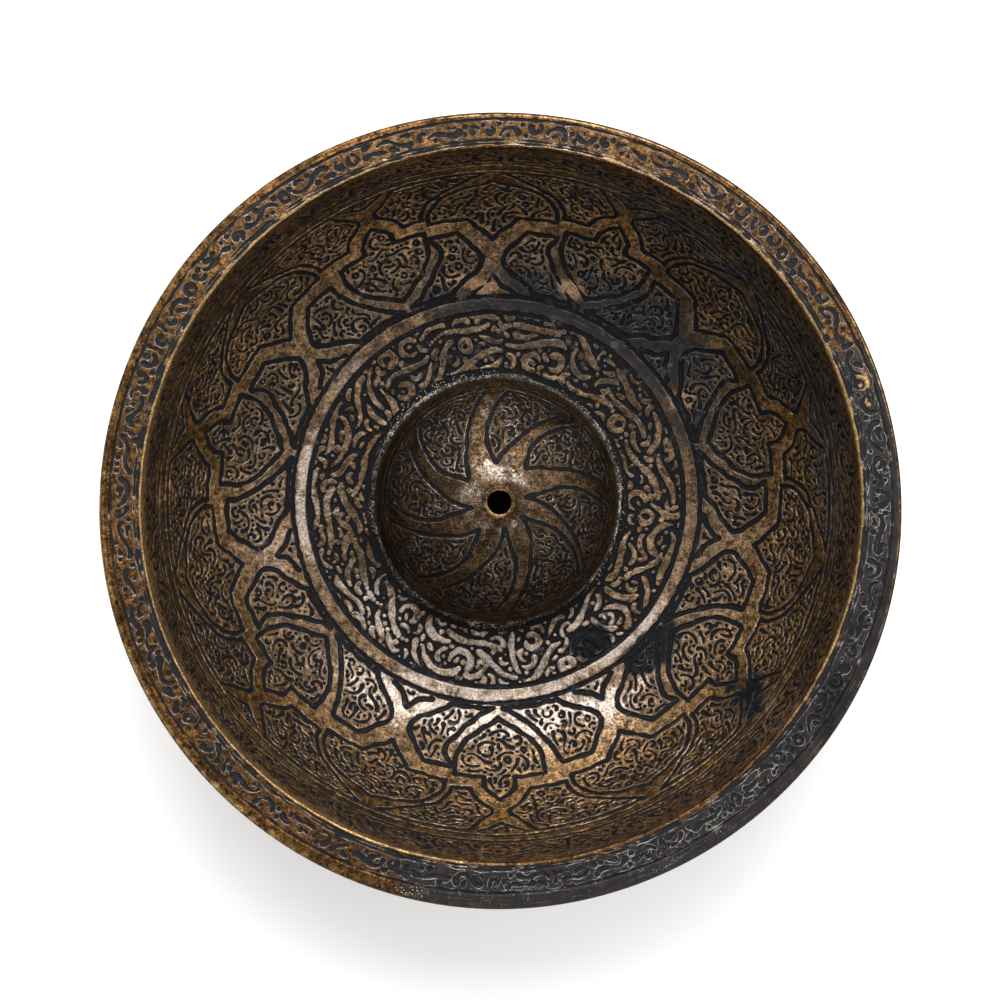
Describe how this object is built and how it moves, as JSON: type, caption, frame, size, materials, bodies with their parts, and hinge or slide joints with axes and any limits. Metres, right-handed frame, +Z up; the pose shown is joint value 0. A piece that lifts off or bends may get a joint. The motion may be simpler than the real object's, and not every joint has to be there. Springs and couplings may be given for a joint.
{
  "type": "magic bowl",
  "caption": "Shallow engraved brass bowl with a turned-out flat rim and a hollow domed boss, pierced at its crown, soldered to the middle of the floor.",
  "frame": {"origin": "centre of the flat base, on the surface that the bowl stands on, on the axis of the bowl and its boss", "axes": "+Z up along the axis of the bowl; +Y towards the far side, which is the top of the picture; +X to the right of the picture"},
  "size_m": [0.1964, 0.1964, 0.052],
  "materials": {
    "bowl_brass": "satin",
    "boss_brass": "satin",
    "solder": "matte",
    "eyelet_brass": "satin"
  },
  "bodies": {
    "root": {"bowl_body": "bowl_brass", "boss_dome": "boss_brass", "boss_solder_seam": "solder", "hole_eyelet": "eyelet_brass"}
  },
  "joints": []
}
